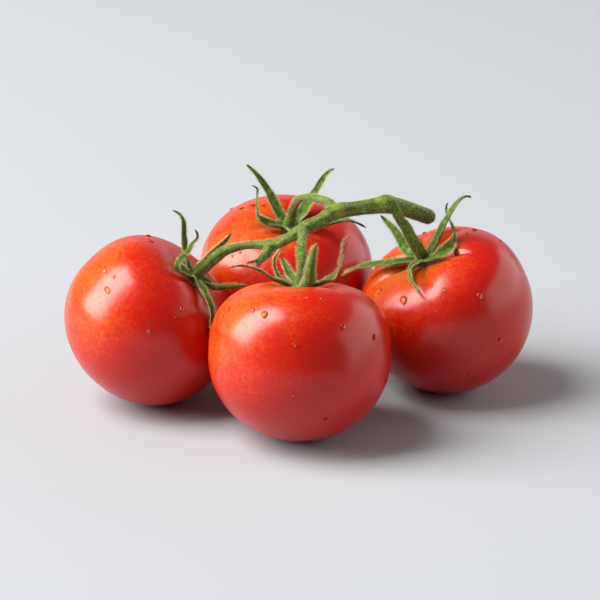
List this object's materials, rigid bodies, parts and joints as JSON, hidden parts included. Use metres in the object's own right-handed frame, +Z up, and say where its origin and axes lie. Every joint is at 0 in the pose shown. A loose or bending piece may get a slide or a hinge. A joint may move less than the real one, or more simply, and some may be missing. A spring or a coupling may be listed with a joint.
{
  "type": "truss of tomatoes",
  "caption": "Vine truss of ripe round red tomatoes lying on a surface, held together by a green stalk with a star-shaped leafy calyx on each fruit.",
  "frame": {"origin": "on the resting surface, under the middle of the whole truss", "axes": "+X along the truss's long side, towards the cut end of the stalk; +Y from the front fruit to the back fruit; +Z up"},
  "size_m": [0.1778, 0.1486, 0.0803],
  "materials": {
    "tomato_skin": "smooth glossy wax-like skin, red with orange shoulders and fine pale speckles",
    "sepal_green": "matt, finely hairy leaf green with darker dried tips",
    "stalk_green": "matt, downy olive green with paler nodes"
  },
  "bodies": {
    "root": {"tomato_left": "tomato_skin", "tomato_front": "tomato_skin", "tomato_right": "tomato_skin", "tomato_back": "tomato_skin", "calyx_left": "sepal_green", "calyx_front": "sepal_green", "calyx_right": "sepal_green", "calyx_back": "sepal_green", "vine": "stalk_green"}
  },
  "joints": []
}
